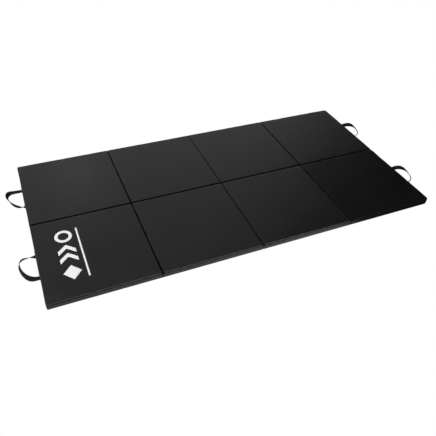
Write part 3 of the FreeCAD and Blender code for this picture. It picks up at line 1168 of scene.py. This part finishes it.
def handle_patch(row, side):
    sign = -1 if side == "left" else 1
    body = f"{row}_{1 if side == 'left' else 4}"
    low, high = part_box(f"handle_anchor_{row}_{side}")
    bm = box_between(low, high)
    corners = [e for e in bm.edges if abs(e.verts[0].co.x - e.verts[1].co.x) > 1e-4]
    round_over(bm, corners, PATCH_ROUND, 4)
    face_x = high.x if sign > 0 else low.x
    rim_edges = [e for e in bm.edges if all(abs(v.co.x - face_x) < 1e-6 for v in e.verts)]
    round_over(bm, rim_edges, 0.5 * MM, 2)
    rim = bm.verts.layers.float.new("rim")
    for vert in bm.verts:
        # The patch's face edge gets a little of the vinyl's painted edge highlight.
        vert[rim] = 0.3 if abs(vert.co.x - face_x) < 0.6 * MM else 0.0
    patch = finish_piece(bm, f"handle_patch_{row}_{side}", PATCH_VINYL, smooth=False)
    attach(patch, body)
    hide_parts(f"handle_anchor_{row}_{side}")

    surface = surface_of(patch)
    thread_bm = bmesh.new()
    middle = Vector((face_x, (low.y + high.y) / 2, (low.z + high.z) / 2))
    half = (high - low) / 2
    sew_box(thread_bm, surface, middle, half.y - PATCH_HEM, half.z - PATCH_HEM)
    route = HANDLE_ROUTES[f"{row}_{side}"]
    for _, along, _, _ in (route[0], route[-1]):
        sew_box_and_cross(thread_bm, surface, middle + Vector((0, along * MM, 0)))
    thread_piece(thread_bm, f"patch_thread_{row}_{side}", body)


for row in ROWS:
    for side in ("left", "right"):
        handle_patch(row, side)
print("handle patches:", len(ROWS) * 2)

# %% [markdown]
# ## The hook-and-loop tapes
#
# Both strips carry tape along their inner long wall: hooks on the front one and loops on
# the back one. They show only when the strips are pulled apart. A woven border runs round
# the pile, so the mesh is cut once inside each edge and the border's vertices are marked.
# The two piles mesh when they are pressed together, so each reaches just past the middle.

# %% Make the tapes
TAPE_BORDER = 1.8 * MM
TAPE_LONGER = 15 * MM
PILE_PAST_MIDDLE = 0.05 * MM


def tape(node, name, material, body):
    low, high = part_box(node)
    low.x, high.x = low.x - TAPE_LONGER, high.x + TAPE_LONGER
    if material is HOOKS:
        high.y = PILE_PAST_MIDDLE
    else:
        low.y = -PILE_PAST_MIDDLE
    bm = box_between(low, high)
    round_over(bm, list(bm.edges), 0.5 * MM, 2)
    for z in (low.z + TAPE_BORDER, high.z - TAPE_BORDER):
        cut(bm, Vector((0, 0, z)), Vector((0, 0, 1)))
    count = round((high.x - low.x) / GRID)
    for i in range(1, count):
        cut(bm, Vector((low.x + (high.x - low.x) * i / count, 0, 0)), Vector((1, 0, 0)))
    rim = bm.verts.layers.float.new("rim")
    for vert in bm.verts:
        inside = min(vert.co.z - low.z, high.z - vert.co.z, vert.co.x - low.x, high.x - vert.co.x)
        vert[rim] = 1.0 if inside < TAPE_BORDER - 0.1 * MM else 0.0
    strip = finish_piece(bm, name, material)
    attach(strip, body)
    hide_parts(node)


for column in COLUMNS:
    tape(f"hook_tape_front_{column}", f"tape_hooks_{column}", HOOKS, f"front_{column}")
    tape(f"loop_tape_back_{column}", f"tape_loops_{column}", LOOPS, f"back_{column}")
print("tapes:", len(COLUMNS) * 2)

# %% [markdown]
# ## The printed mark
#
# The front left panel carries a white print. It is a plain device of its own: a ring, two
# arrowheads and a lozenge in a row, with a thin bar beside them, and it says nothing. The
# shapes are flat, cut into a grid, laid on the cover with a Shrinkwrap modifier, which
# follows its waves, and given an ink's thickness.

# %% Print the mark
MARK_X = -1.036
MARK_TOP = -0.105
MARK_HALF_WIDE = 48 * MM
INK_THICK = 0.25 * MM
ARROW_DOWN = (0.118, 0.182)
ARROW_DEPTH = 0.042
ARROW_THICK = 0.030
LOZENGE_DOWN = 0.328
LOZENGE_HALF_HIGH = 0.052
BAR_X = -0.958
BAR_LONG = 0.38
MARK_GRID = 7 * MM


def above_panel(x, y, half_x=1.0, half_y=1.0, lean=0.0):
    """The place, half sizes and sideways lean of a flat shape that waits above the cover."""
    shape = Matrix.Diagonal((half_x, half_y, 1, 1))
    shape[1][0] = lean * half_x
    return Matrix.Translation((x, y, TOP + 5 * MM)) @ shape


def mark_bar(bm, x, y, wide, high, lean=0.0):
    """A bar; lean lets its right end stand higher than its left."""
    place = above_panel(x, y, wide / 2, high / 2, lean)
    bmesh.ops.create_grid(bm, x_segments=1, y_segments=1, size=1, matrix=place)


def mark_ring(bm, middle_y):
    place = above_panel(MARK_X, middle_y)
    loops = []
    for radius in (MARK_HALF_WIDE, MARK_HALF_WIDE * 0.62):
        made = bmesh.ops.create_circle(bm, cap_ends=False, radius=radius, segments=48, matrix=place)
        loops += list({e for v in made["verts"] for e in v.link_edges})
    bmesh.ops.bridge_loops(bm, edges=loops)


def mark_arrow(bm, tip_y):
    """An arrowhead that points to the back: two bars that lean against each other."""
    lean = ARROW_DEPTH / MARK_HALF_WIDE
    for side in (-1, 1):
        x, y = MARK_X + side * MARK_HALF_WIDE / 2, tip_y - (ARROW_DEPTH + ARROW_THICK) / 2
        mark_bar(bm, x, y, MARK_HALF_WIDE, ARROW_THICK, -side * lean)


def printed_mark():
    bm = bmesh.new()
    mark_ring(bm, MARK_TOP - MARK_HALF_WIDE)
    for down in ARROW_DOWN:
        mark_arrow(bm, MARK_TOP - down)
    lozenge = above_panel(MARK_X, MARK_TOP - LOZENGE_DOWN, MARK_HALF_WIDE, LOZENGE_HALF_HIGH)
    bmesh.ops.create_circle(bm, cap_ends=True, radius=1, segments=4, matrix=lozenge)
    mark_bar(bm, BAR_X, MARK_TOP - BAR_LONG / 2, 10 * MM, BAR_LONG)
    bmesh.ops.remove_doubles(bm, verts=bm.verts, dist=1e-5)
    for i in range(1, 60):
        cut(bm, Vector((0, MARK_TOP - i * MARK_GRID, 0)), Vector((0, 1, 0)))
    for i in range(1, 20):
        cut(bm, Vector((MARK_X - MARK_HALF_WIDE + i * MARK_GRID, 0, 0)), Vector((1, 0, 0)))
    bmesh.ops.recalc_face_normals(bm, faces=bm.faces)
    for face in bm.faces:
        if face.normal.z < 0:
            face.normal_flip()
    mark = finish_piece(bm, "printed_mark", INK)
    laid = mark.modifiers.new("laid", "SHRINKWRAP")
    laid.target = top_covers["front_1"]
    laid.wrap_method = "PROJECT"
    laid.use_project_z = True
    laid.use_negative_direction = True
    laid.use_positive_direction = False
    laid.offset = 0.05 * MM
    add_wall(mark, INK_THICK, offset=1.0)
    settle(mark)
    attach(mark, "front_1")
    print("printed mark:", len(mark.data.polygons), "faces")


printed_mark()
